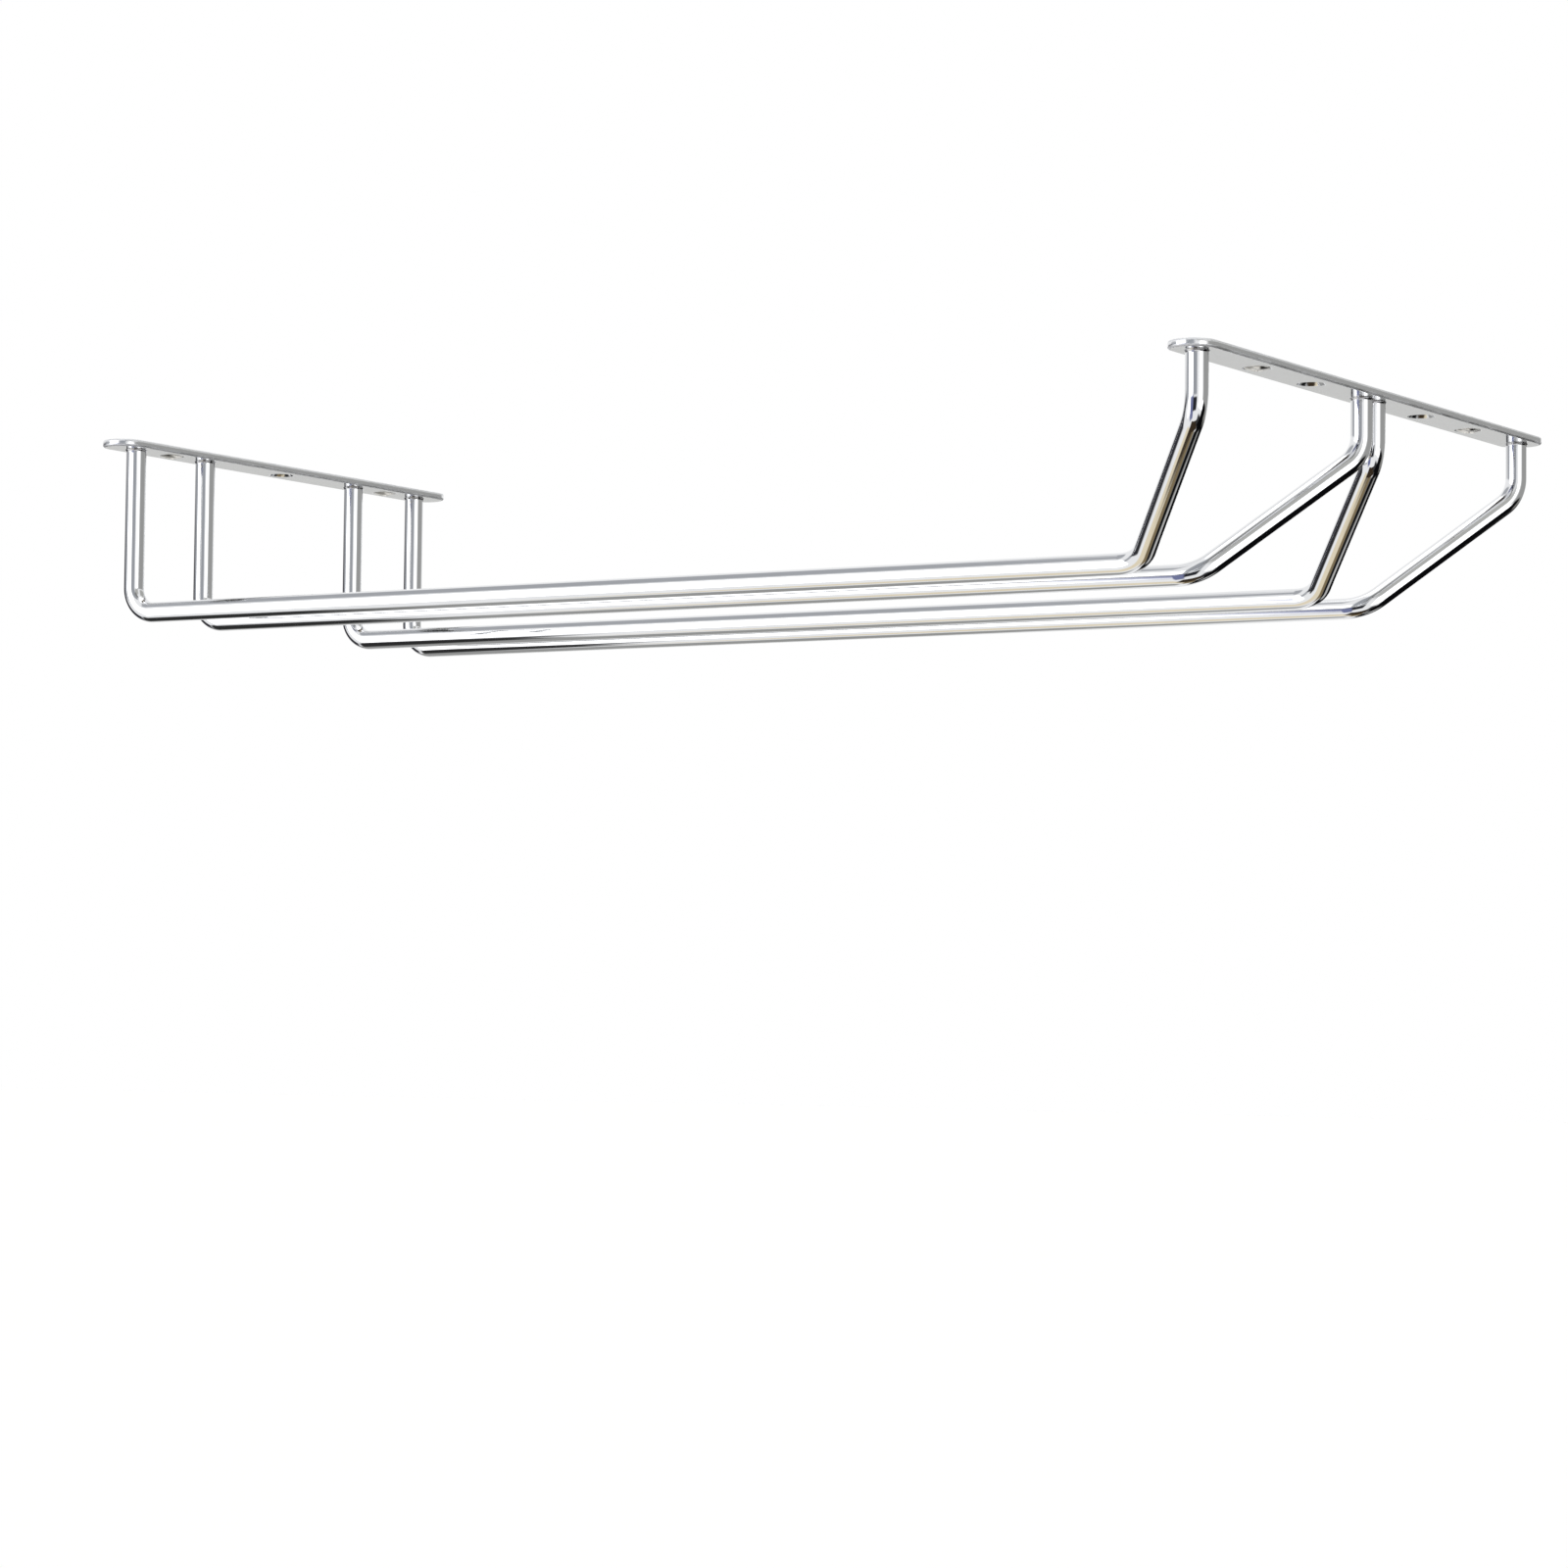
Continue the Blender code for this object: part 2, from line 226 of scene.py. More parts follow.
class RackStudio(bpy.types.PropertyGroup):
    """Floor, backdrop, lamps and camera."""

    floor_drop: distance("Floor drop", "How far the floor lies below the cabinet", 0.45)
    paper: colour("Paper", "White floor and backdrop", "#F4F4F3")
    paper_lift: share("Paper lift", "How much brighter the paper looks than its light makes it", 0.15)
    sky: share("Sky", "Level of the soft light from all round", 0.62)
    top_light: FloatProperty(name="Top light", description="Strength of the light from above that casts the shadow",
                             default=1.05, min=0.0)
    lens: FloatProperty(name="Lens", description="Focal length on a 36 mm sensor", default=103.36, min=1.0,
                        subtype="DISTANCE_CAMERA", unit="CAMERA")
    camera_place: FloatVectorProperty(name="Camera place", description="Where the camera stands", size=3,
                                      default=(-1.0188, -0.6310, -0.1563), subtype="TRANSLATION", unit="LENGTH")
    camera_yaw: turn_angle("Camera yaw", "Turn from looking along +Y, to the left", radians(-58.27))
    camera_pitch: turn_angle("Camera pitch", "Tilt above the horizon", radians(2.98))
    camera_roll: turn_angle("Camera roll", "Turn about the line of sight", radians(0.60))


class RackSettings(bpy.types.PropertyGroup):
    """All sizes and colours of the rack and its studio."""

    wire: PointerProperty(type=RackWireSizes)
    weld: PointerProperty(type=RackWeldSizes)
    bar: PointerProperty(type=RackBarSizes)
    screw: PointerProperty(type=RackScrewSizes)
    finish: PointerProperty(type=RackFinishes)
    studio: PointerProperty(type=RackStudio)


# Small helpers for modelling

def deselect():
    if bpy.context.object and bpy.context.object.mode != "OBJECT":
        bpy.ops.object.mode_set(mode="OBJECT")
    bpy.ops.object.select_all(action="DESELECT")


def only(piece):
    """Makes the piece the one that is selected and active."""
    deselect()
    piece.select_set(True)
    bpy.context.view_layer.objects.active = piece
    return piece


def edit():
    bpy.ops.object.mode_set(mode="EDIT")
    bpy.ops.mesh.select_mode(type="VERT")


def leave_edit():
    bpy.ops.object.mode_set(mode="OBJECT")


def set_in_place(piece):
    """Puts the piece's place into its mesh, so that its object sits at the origin."""
    only(piece)
    bpy.ops.object.transform_apply(location=True, rotation=True, scale=True)
    return piece


def newest(name):
    """The piece that was just added, named and set in place."""
    piece = bpy.context.object
    piece.name = piece.data.name = name
    return set_in_place(piece)


def pick(piece, kind, test):
    """In edit mode, selects only the faces or edges that pass the test."""
    bpy.ops.mesh.select_mode(type=kind)
    bpy.ops.mesh.select_all(action="DESELECT")
    leave_edit()
    mesh = piece.data
    if kind == "FACE":
        chosen = [face for face in mesh.polygons if test(face)]
    else:
        chosen = [edge for edge in mesh.edges if test([mesh.vertices[v].co for v in edge.vertices])]
    if not chosen:
        raise RuntimeError(f"nothing to select on {piece.name}")
    for item in chosen:
        item.select = True
    bpy.ops.object.mode_set(mode="EDIT")


def close_up(piece):
    """Merges doubles and turns all faces outwards."""
    only(piece)
    edit()
    bpy.ops.mesh.select_all(action="SELECT")
    bpy.ops.mesh.remove_doubles(threshold=MERGE)
    bpy.ops.mesh.normals_make_consistent(inside=False)
    leave_edit()
    return piece


def apply_modifiers(piece):
    only(piece)
    for modifier in list(piece.modifiers):
        bpy.ops.object.modifier_apply(modifier=modifier.name)
    return piece


def cut_with(piece, tool):
    """Cuts the tool out of the piece and removes the tool."""
    modifier = piece.modifiers.new("cut", "BOOLEAN")
    modifier.operation = "DIFFERENCE"
    modifier.solver = "EXACT"
    modifier.object = tool
    apply_modifiers(piece)
    bpy.data.objects.remove(tool)
    return piece


def lathe(name, outline, place, steps):
    """A turned body: the outline (radius, height) is drawn point by point and spun round the upright through place."""
    deselect()
    bpy.ops.mesh.primitive_plane_add(size=1 * MM, location=place + Vector((outline[0][0], 0, outline[0][1])))
    piece = newest(name)
    edit()
    bpy.ops.mesh.select_all(action="SELECT")
    bpy.ops.mesh.merge(type="CENTER")
    for (r0, z0), (r1, z1) in zip(outline, outline[1:]):
        bpy.ops.mesh.extrude_region_move(TRANSFORM_OT_translate={"value": (r1 - r0, 0, z1 - z0)})
    bpy.ops.mesh.select_all(action="SELECT")
    bpy.ops.mesh.spin(steps=steps, angle=2 * pi, center=place, axis=(0, 0, 1), use_auto_merge=True)
    leave_edit()
    return close_up(piece)


def copy_of(pattern, name, place):
    """A copy of the pattern with a mesh of its own, its origin set down at the place."""
    only(pattern)
    bpy.ops.object.duplicate(linked=False)
    bpy.context.object.location = place
    return newest(name)


def shade(piece, angle=35):
    only(piece)
    bpy.ops.object.shade_smooth_by_angle(angle=radians(angle))
    return piece


def flatten(piece):
    """Keeps the large flat faces flat in the shading, so that only the rounded edges turn."""
    weighted = piece.modifiers.new("flat faces", "WEIGHTED_NORMAL")
    weighted.mode = "FACE_AREA"
    weighted.weight = 100
    weighted.keep_sharp = True
    return apply_modifiers(piece)


def mark_points(piece, name, values):
    """Stores three numbers at each point, for a material to read."""
    piece.data.attributes.new(name, "FLOAT_VECTOR", "POINT").data.foreach_set("vector", values)


def hand_over(piece, slot, *materials):
    """Gives a finished piece its materials and its body. The slot it is given is not used."""
    piece.data.materials.clear()
    for material in materials:
        piece.data.materials.append(material)
    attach(piece, BODY)
    return piece


# Small helpers for materials

def add_node(tree, kind, settings=None, **links):
    """Adds a node, sets its properties, and links or sets its sockets.

    A socket goes by its name, with _ for a space, or as _ and its number. A value that is an output is linked.
    """
    node = tree.nodes.new(kind)
    for key, value in (settings or {}).items():
        setattr(node, key, value)
    for key, value in links.items():
        socket = node.inputs[int(key[1:]) if key[0] == "_" else key.replace("_", " ")]
        if isinstance(value, bpy.types.NodeSocket):
            tree.links.new(value, socket)
        else:
            socket.default_value = value
    return node


def new_material(name):
    material = bpy.data.materials.new(name)
    material.use_nodes = True
    material.node_tree.nodes.clear()
    return material, material.node_tree


def rgba(colour_value):
    return (*colour_value, 1.0)


def plated_steel(name, colour_value, roughness, along, line_gap, stretch, line_depth, ripple_gap, ripple_depth):
    """Metal that shows fine lines from its working, the slow ripple of polish under plating, and handling haze.

    along names the attribute that the patterns follow, or is None where they follow the object's own place. Gaps
    and depths are real sizes in millimetres, and stretch draws the lines out. Real lines are some hundredths of a
    millimetre apart, too fine to show, so they are drawn as coarse as they need to be.
    """
    material, tree = new_material(name)
    if along:
        place = add_node(tree, "ShaderNodeAttribute", {"attribute_type": "GEOMETRY", "attribute_name": along})
        place = place.outputs["Vector"]
    else:
        place = add_node(tree, "ShaderNodeTexCoord").outputs["Object"]
    stretched = add_node(tree, "ShaderNodeMapping", Vector=place, Scale=stretch)
    lines = add_node(tree, "ShaderNodeTexNoise", Vector=stretched.outputs[0], Scale=1 / (line_gap * MM), Detail=3.0,
                     Roughness=0.6)
    ripple = add_node(tree, "ShaderNodeTexNoise", Vector=place, Scale=1 / (ripple_gap * MM), Detail=1.0,
                      Roughness=0.4)
    haze = add_node(tree, "ShaderNodeTexNoise", Vector=place, Scale=1 / HAZE_GAP, Detail=4.0, Roughness=0.55)
    haze_level = add_node(tree, "ShaderNodeMapRange", Value=haze.outputs[0], From_Min=0.35, From_Max=0.75,
                          To_Min=roughness * HAZE_GLOSS, To_Max=roughness * HAZE_DULL)
    line_level = add_node(tree, "ShaderNodeMapRange", Value=lines.outputs[0], From_Min=0.3, From_Max=0.7,
                          To_Min=LINE_GLOSS, To_Max=LINE_DULL)
    rough = add_node(tree, "ShaderNodeMath", {"operation": "ADD", "use_clamp": True},
                     _0=haze_level.outputs[0], _1=line_level.outputs[0])
    tone = add_node(tree, "ShaderNodeMapRange", Value=haze.outputs[0], From_Min=0.3, From_Max=0.8, To_Min=1.0,
                    To_Max=HAZE_TONE)
    tint = add_node(tree, "ShaderNodeVectorMath", {"operation": "SCALE"}, _0=colour_value, Scale=tone.outputs[0])
    ripple_bump = add_node(tree, "ShaderNodeBump", Height=ripple.outputs[0], Strength=1.0,
                           Distance=ripple_depth * MM)
    bump = add_node(tree, "ShaderNodeBump", Height=lines.outputs[0], Strength=1.0, Distance=line_depth * MM,
                    Normal=ripple_bump.outputs[0])
    metal = add_node(tree, "ShaderNodeBsdfPrincipled", Base_Color=tint.outputs[0], Metallic=1.0,
                     Roughness=rough.outputs[0], Normal=bump.outputs[0])
    add_node(tree, "ShaderNodeOutputMaterial", Surface=metal.outputs[0])
    return material


def drawn_chrome(finish):
    """Bright chrome plate on drawn steel wire: mirror-like, with faint lines along the wire left by the die."""
    return plated_steel("Bright chrome on drawn wire", finish.chrome, finish.wire_roughness, "along_wire",
                        line_gap=0.35, stretch=(1, 1, 0.02), line_depth=0.0006, ripple_gap=5.0, ripple_depth=0.004)


def rolled_chrome(finish, name, roughness):
    """Chrome plate on rolled flat steel, with lines along the bar and the faint waviness of rolling."""
    return plated_steel(name, finish.chrome, roughness, None,
                        line_gap=0.30, stretch=(0.03, 1, 1), line_depth=0.0006, ripple_gap=7.0, ripple_depth=0.004)


def flat_chrome(finish):
    """The bar's faces, which are polished: mirror-like, but for their waviness."""
    return rolled_chrome(finish, "Polished chrome on rolled bar", finish.bar_roughness)


def edge_chrome(finish):
    """The bar's rolled edges, which the polishing wheel hardly reaches: softer than the faces."""
    return rolled_chrome(finish, "Chrome over rolled edge", finish.edge_roughness)


def weld_chrome(finish):
    """Chrome plate over a resistance weld: bright but pebbled, where the squeezed-out steel froze."""
    return plated_steel("Chrome over weld bead", finish.weld, finish.weld_roughness, None,
                        line_gap=0.6, stretch=(1, 1, 1), line_depth=0.006, ripple_gap=0.9, ripple_depth=0.012)


def countersunk_chrome(finish):
    """Chrome plate in a drilled countersink: turned rings left by the cutter show through the plate."""
    return plated_steel("Chrome over turned countersink", finish.chrome, finish.sink_roughness, "from_hole",
                        line_gap=0.22, stretch=(0.02, 0.02, 1), line_depth=0.005, ripple_gap=6.0, ripple_depth=0.003)


def screw_plate(finish):
    """Barrel-plated nickel-coloured steel: softer shine with small dents from tumbling in the barrel."""
    return plated_steel("Barrel-plated screw steel", finish.screw, finish.screw_roughness, None,
                        line_gap=0.5, stretch=(1, 1, 1), line_depth=0.004, ripple_gap=1.2, ripple_depth=0.006)


# Wires

def centre(node):
    return sum(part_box(node), Vector()) / 2


def bar_underside():
    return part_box("front_plate")[0].z


def wire_course(settings, node):
    """The corners of a wire's middle line, taken from its CAD node's box, and the bend radii at them."""
    wire = settings.wire
    low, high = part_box(node)
    rear, front = centre("rear_plate"), centre("front_plate")
    under = bar_underside()
    radius, proud = wire.diameter / 2, wire.diameter / 2 + wire.upset
    spreads_left = "left_outer" in node or "right_inner" in node
    run_x = (high.x - radius) if spreads_left else (low.x + radius)
    mouth_x = (low.x + proud) if spreads_left else (high.x - proud)
    run_z = low.z + radius
    top = under + wire.sink
    corners = [
        Vector((run_x, rear.y, top)),
        Vector((run_x, rear.y, run_z)),
        Vector((run_x, front.y + wire.mouth_reach, run_z)),
        Vector((mouth_x, front.y, under - wire.front_leg)),
        Vector((mouth_x, front.y, top)),
    ]
    return corners, (wire.rear_bend, wire.lower_bend, wire.upper_bend)


def bend_wire(settings, node, material):
    """Extrudes a round wire along its straight stretches and spins it round each bend."""
    wire = settings.wire
    corners, bends = wire_course(settings, node)
    deselect()
    bpy.ops.mesh.primitive_circle_add(vertices=wire.sides, radius=wire.diameter / 2, fill_type="NGON",
                                      location=corners[0])
    piece = newest(node + "_drawn")
    edit()
    bpy.ops.mesh.select_all(action="SELECT")
    here = corners[0]
    for before, corner, after, bend in zip(corners, corners[1:], corners[2:], bends):
        towards, away = (corner - before).normalized(), (after - corner).normalized()
        turn = towards.angle(away)
        setback = bend * tan(turn / 2)
        start = corner - towards * setback
        bpy.ops.mesh.extrude_region_move(TRANSFORM_OT_translate={"value": start - here})
        inward = (away - towards * away.dot(towards)).normalized()
        bpy.ops.mesh.spin(steps=max(2, round(turn / wire.bend_step)), angle=turn, center=start + inward * bend,
                          axis=away.cross(towards).normalized())
        here = corner + away * setback
    bpy.ops.mesh.extrude_region_move(TRANSFORM_OT_translate={"value": corners[-1] - here})
    bpy.ops.mesh.select_all(action="SELECT")
    bpy.ops.mesh.normals_make_consistent(inside=False)
    leave_edit()
    mark_length(piece, wire.sides, wire.diameter / 2)
    shade(piece)
    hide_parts(node)
    return hand_over(piece, "chrome_wire", material)


def mark_length(piece, sides, radius):
    """Stores where each point lies round and along the wire, so that drawing lines follow its bends."""
    points = piece.data.vertices
    rings = len(points) // sides
    middles = [sum((points[k * sides + i].co for i in range(sides)), Vector()) / sides for k in range(rings)]
    length, values = 0.0, []
    for k in range(rings):
        if k:
            length += (middles[k] - middles[k - 1]).length
        for i in range(sides):
            if abs((points[k * sides + i].co - middles[k]).length - radius) > RING_SLACK:
                raise RuntimeError(f"ring {k} of {piece.name} is out of order")
            turn = 2 * pi * i / sides
            values += [radius * cos(turn), radius * sin(turn), length]
    mark_points(piece, "along_wire", values)


# Welds

def turn_collar(settings):
    """The collar of squeezed-out steel between a wire's end and the bar, turned even and round at the origin."""
    weld, radius = settings.weld, settings.wire.diameter / 2
    inside = (radius - BEAD_INSIDE, BEAD_ROOT)
    outline = [inside, (radius + weld.flare, BEAD_ROOT), (radius + weld.flare, -BEAD_LIP)]
    outline += [(radius + weld.flare * out, -weld.height * down) for out, down in BEAD_SIDE]
    outline += [(radius - BEAD_TOE, -weld.height), (radius - BEAD_INSIDE, -weld.height * BEAD_BACK), inside]
    return lathe("collar", outline, Vector(), COLLAR_SIDES)


def weld_bead(settings, collar, name, place, turn, material):
    """A copy of the collar at a wire's end, its edge slightly uneven as the melt froze."""
    radius = settings.wire.diameter / 2
    piece = copy_of(collar, name, place)
    for point in piece.data.vertices:
        out = point.co - place
        angle = atan2(out.y, out.x) + turn
        wander = sum(sin(waves * angle + phase) * part for waves, phase, part in WANDER_WAVES)
        reach = hypot(out.x, out.y) - radius
        if reach > WANDER_START:
            push = wander * settings.weld.unevenness * min(1.0, reach / WANDER_FULL)
            point.co += Vector((out.x, out.y, 0)).normalized() * push
    shade(piece, angle=50)
    return hand_over(piece, "chrome_wire", material)


# Bars

def bar_holes(settings, node):
    bar, middle = settings.bar, centre(node)
    if node == "rear_plate":
        across = (-bar.rear_holes, 0.0, bar.rear_holes)
    else:
        across = (-bar.front_screwed, -bar.front_spare, bar.front_spare, bar.front_screwed)
    return [Vector((x, middle.y, 0)) for x in across]


def bar_blank(name, low, high):
    """Half a bar from half a disc, drawn out to the middle and mirrored, and its seams dissolved."""
    radius, middle = (high.y - low.y) / 2, (low + high) / 2
    end = high.x - radius
    deselect()
    bpy.ops.mesh.primitive_cylinder_add(vertices=BAR_END_SIDES, radius=radius, depth=high.z - low.z,
                                        end_fill_type="NGON", location=(end, middle.y, middle.z))
    piece = newest(name)
    edit()
    bpy.ops.mesh.select_all(action="SELECT")
    bpy.ops.mesh.bisect(plane_co=(end, middle.y, middle.z), plane_no=(1, 0, 0), use_fill=True, clear_inner=True)
    pick(piece, "FACE", lambda face: face.normal.x < -0.9)
    bpy.ops.mesh.extrude_region_move(TRANSFORM_OT_translate={"value": (-end, 0, 0)})
    bpy.ops.mesh.delete(type="ONLY_FACE")
    leave_edit()
    mirror = piece.modifiers.new("other half", "MIRROR")
    mirror.use_axis = (True, False, False)
    mirror.merge_threshold = MIRROR_MERGE
    apply_modifiers(piece)
    close_up(piece)
    edit()
    bpy.ops.mesh.select_all(action="SELECT")
    bpy.ops.mesh.dissolve_limited(angle_limit=COPLANAR)
    leave_edit()
    return piece


def round_edges(piece, test, radius, steps, clamp):
    """Rounds the edges that pass the test."""
    only(piece)
    edit()
    pick(piece, "EDGE", test)
    bpy.ops.mesh.bevel(offset=radius, segments=steps, profile=0.5, affect="EDGES", clamp_overlap=clamp)
    leave_edit()


def drill(piece, bar, hole, low, high):
    """Drills a hole through and countersinks it from below, at 90 degrees."""
    bottom, top = low.z - DRILL_OVERRUN, high.z + DRILL_OVERRUN
    sink = bar.countersink - bar.hole
    tool = lathe("drill", [
        (0.0, bottom), (bar.countersink + DRILL_OVERRUN, bottom), (bar.hole, low.z + sink), (bar.hole, top),
        (0.0, top),
    ], Vector((hole.x, hole.y, 0)), HOLE_SIDES)
    cut_with(piece, tool)


def roll_bar(settings, node, *metals):
    """A flat bar with round ends, its edges rolled round and its holes drilled and countersunk."""
    bar = settings.bar
    low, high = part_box(node)
    holes = bar_holes(settings, node)
    piece = bar_blank(node + "_rolled", low, high)
    round_edges(piece, lambda ends: abs(ends[0].z - ends[1].z) < LEVEL, bar.edge, BAR_EDGE_STEPS, False)
    for hole in holes:
        drill(piece, bar, hole, low, high)

    def on_circle(ends, hole, height, radius):
        return all(abs(p.z - height) < LEVEL and abs(hypot(p.x - hole.x, p.y - hole.y) - radius) < RIM_SLACK
                   for p in ends)

    def on_rim(ends):
        return any(on_circle(ends, hole, low.z, bar.countersink) or on_circle(ends, hole, high.z, bar.hole)
                   for hole in holes)

    round_edges(piece, on_rim, bar.rim, RIM_STEPS, True)
    mark_holes(piece, holes)
    shade(piece)
    flatten(piece)
    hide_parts(node)
    hand_over(piece, "chrome_bar", *metals)
    return share_out(piece, bar, holes)


def mark_holes(piece, holes):
    """Stores where each point lies from its nearest hole, so that the cutter's rings run round the hole."""
    values = []
    for point in piece.data.vertices:
        out = min((point.co - hole for hole in holes), key=lambda way: hypot(way.x, way.y))
        values += [out.x, out.y, hypot(out.x, out.y)]
    mark_points(piece, "from_hole", values)


def share_out(piece, bar, holes):
    """Gives the flat faces the first metal, the countersinks the second and the rolled edges the third."""
    for face in piece.data.polygons:
        near = min(hypot(face.center.x - hole.x, face.center.y - hole.y) for hole in holes)
        upright = abs(face.normal.z)
        if near < bar.countersink + bar.rim:
            face.material_index = 1 if near < bar.countersink - bar.rim and upright < SINK_LIMIT else 0
        else:
            face.material_index = 2 if EDGE_LIMITS[0] < upright < EDGE_LIMITS[1] else 0
    return piece


# Screws

def head_outline(screw, rim):
    """The raised countersunk head: dome, rim and cone, as (radius, height)."""
    ball = (screw.head ** 2 + screw.dome ** 2) / (2 * screw.dome)
    full = asin(screw.head / ball) * DOME_SHARE
    turns = [full * k / DOME_STEPS for k in range(DOME_STEPS + 1)]
    dome = [(ball * sin(turn), rim - screw.dome + ball * (1 - cos(turn))) for turn in turns]
    top = rim + RIM_END
    return dome + [(screw.head, rim + RIM_START), (screw.head, top), (screw.shank, top + screw.head - screw.shank)]


def turn_screw(settings):
    """A raised countersunk head and core turned on the lathe, with a cut cross recess and a rolled thread.

    It stands on the upright through the origin, at the height that all four share.
    """
    screw = settings.screw
    low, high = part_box(SCREWS[0])
    tip = high.z
    outline = head_outline(screw, low.z + screw.dome)
    neck = outline[-1][1]
    outline += [
        (screw.core + NECK_FLARE, neck + NECK_WAIST),
        (screw.core, neck + NECK_LENGTH),
        (screw.core, tip - screw.point),
        (screw.core * POINT_RADIUS, tip - screw.point * POINT_HEIGHT),
        (TIP_RADIUS, tip - TIP_HEIGHT),
        (0.0, tip),
    ]
    piece = lathe("screw", outline, Vector(), SCREW_SIDES)
    cut_recess(piece, screw, low.z)
    thread = roll_thread(screw, neck + THREAD_START, tip)
    only(piece)
    thread.select_set(True)
    bpy.ops.object.join()
    return shade(piece, angle=32)


def cut_recess(piece, screw, bottom):
    """Cuts a tapered cross and its middle well into the head."""
    start = bottom - RECESS_OVERRUN
    depth = screw.recess_depth + RECESS_OVERRUN
    for quarter in (0, 1):
        deselect()
        bpy.ops.mesh.primitive_cube_add(size=1, location=(0, 0, start + depth / 2),
                                        scale=(screw.recess_span, screw.recess_slot, depth),
                                        rotation=(0, 0, RECESS_TURN + quarter * pi / 2))
        tool = newest("wings")
        edit()
        pick(tool, "FACE", lambda face: face.normal.z > 0.9)
        bpy.ops.transform.resize(value=(RECESS_TAPER, RECESS_TAPER, 1), center_override=(0, 0, start + depth))
        leave_edit()
        cut_with(piece, tool)
    well = [(screw.recess_slot * out, start + depth * up) for out, up in WELL_SIDE]
    cut_with(piece, lathe("well", [(0.0, start)] + well, Vector(), WELL_SIDES))


def roll_thread(screw, start, tip):
    """A ridge swept as a helix round the core, then drawn in towards the point."""
    deselect()
    bpy.ops.mesh.primitive_circle_add(vertices=3, radius=THREAD_ROOT, fill_type="NOTHING")
    ridge = newest("thread")
    half, root = screw.pitch * THREAD_HALF_BASE, screw.core - THREAD_ROOT
    shape = [(screw.shank - CREST_WEAR, 0.0), (root, half), (root, -half)]
    for point, (radius, height) in zip(ridge.data.vertices, shape):
        point.co = (radius, 0, start + height)
    helix = ridge.modifiers.new("thread", "SCREW")
    helix.angle = 2 * pi
    helix.screw_offset = screw.pitch
    helix.iterations = int((tip - THREAD_END - start) / screw.pitch)
    helix.steps = helix.render_steps = THREAD_STEPS
    apply_modifiers(ridge)
    edit()
    bpy.ops.mesh.select_all(action="SELECT")
    bpy.ops.mesh.fill_holes(sides=0)
    leave_edit()
    for point in ridge.data.vertices:
        reach = hypot(point.co.x, point.co.y)
        risen = min(1.0, max(0.0, (point.co.z - start) / RUN_IN))
        taper = min(1.0, max(TIP_SHARE, (tip - point.co.z) / screw.point))
        out = reach
        if reach > screw.core:
            out = screw.core + (reach - screw.core) * (RUN_IN_SHARE + (1 - RUN_IN_SHARE) * risen)
        point.co.x *= out * taper / reach
        point.co.y *= out * taper / reach
    return close_up(ridge)


# Operators, one for each group of pieces

class RACK_OT_bend_wires(bpy.types.Operator):
    """Bend the four chrome wires"""

    bl_idname = "rack.bend_wires"
    bl_label = "Bend wires"

    def execute(self, context):
        settings = context.scene.rack
        metal = drawn_chrome(settings.finish)
        for node in WIRES:
            bend_wire(settings, node, metal)
        return {"FINISHED"}


class RACK_OT_roll_bars(bpy.types.Operator):
    """Roll, drill and countersink the two flat bars"""

    bl_idname = "rack.roll_bars"
    bl_label = "Roll bars"

    def execute(self, context):
        settings = context.scene.rack
        metals = [make(settings.finish) for make in (flat_chrome, countersunk_chrome, edge_chrome)]
        for node in BARS:
            roll_bar(settings, node, *metals)
        return {"FINISHED"}


class RACK_OT_weld_wires(bpy.types.Operator):
    """Weld the wires' ends to the bars"""

    bl_idname = "rack.weld_wires"
    bl_label = "Weld wires"

    def execute(self, context):
        settings = context.scene.rack
        metal = weld_chrome(settings.finish)
        collar = turn_collar(settings)
        for number, node in enumerate(WIRES):
            corners = wire_course(settings, node)[0]
            for end, corner in (("rear", corners[0]), ("front", corners[-1])):
                place = Vector((corner.x, corner.y, bar_underside()))
                turn = number * TURN_PER_WIRE + (end == "front") * TURN_AT_FRONT
                weld_bead(settings, collar, f"{node}_{end}_weld", place, turn, metal)
        bpy.data.objects.remove(collar)
        return {"FINISHED"}


class RACK_OT_drive_screws(bpy.types.Operator):
    """Turn and place the four cross-recess screws"""

    bl_idname = "rack.drive_screws"
    bl_label = "Drive screws"

    def execute(self, context):
        settings = context.scene.rack
        metal = screw_plate(settings.finish)
        pattern = turn_screw(settings)
        for node in SCREWS:
            middle = centre(node)
            piece = copy_of(pattern, node + "_turned", Vector((middle.x, middle.y, 0)))
            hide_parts(node)
            hand_over(piece, "plated_screw", metal)
        bpy.data.objects.remove(pattern)
        return {"FINISHED"}


# Studio

def way_out(settings, azimuth, height):
    """The direction at an azimuth from the camera's line of sight, to its right, and at a height, in degrees."""
    heading, height = settings.studio.camera_yaw + pi / 2 - radians(azimuth), radians(height)
    return Vector((cos(height) * cos(heading), cos(height) * sin(heading), sin(height)))


def plain_sight(tree):
    """1 for rays from the camera, or sent on by a shiny or clear surface, and 0 for rays that only carry light."""
    ray = add_node(tree, "ShaderNodeLightPath")
    shiny = add_node(tree, "ShaderNodeMath", {"operation": "MAXIMUM"}, _0=ray.outputs["Is Camera Ray"],
                     _1=ray.outputs["Is Glossy Ray"])
    clear = add_node(tree, "ShaderNodeMath", {"operation": "MAXIMUM"}, _0=shiny.outputs[0],
                     _1=ray.outputs["Is Transmission Ray"])
    return clear.outputs[0]


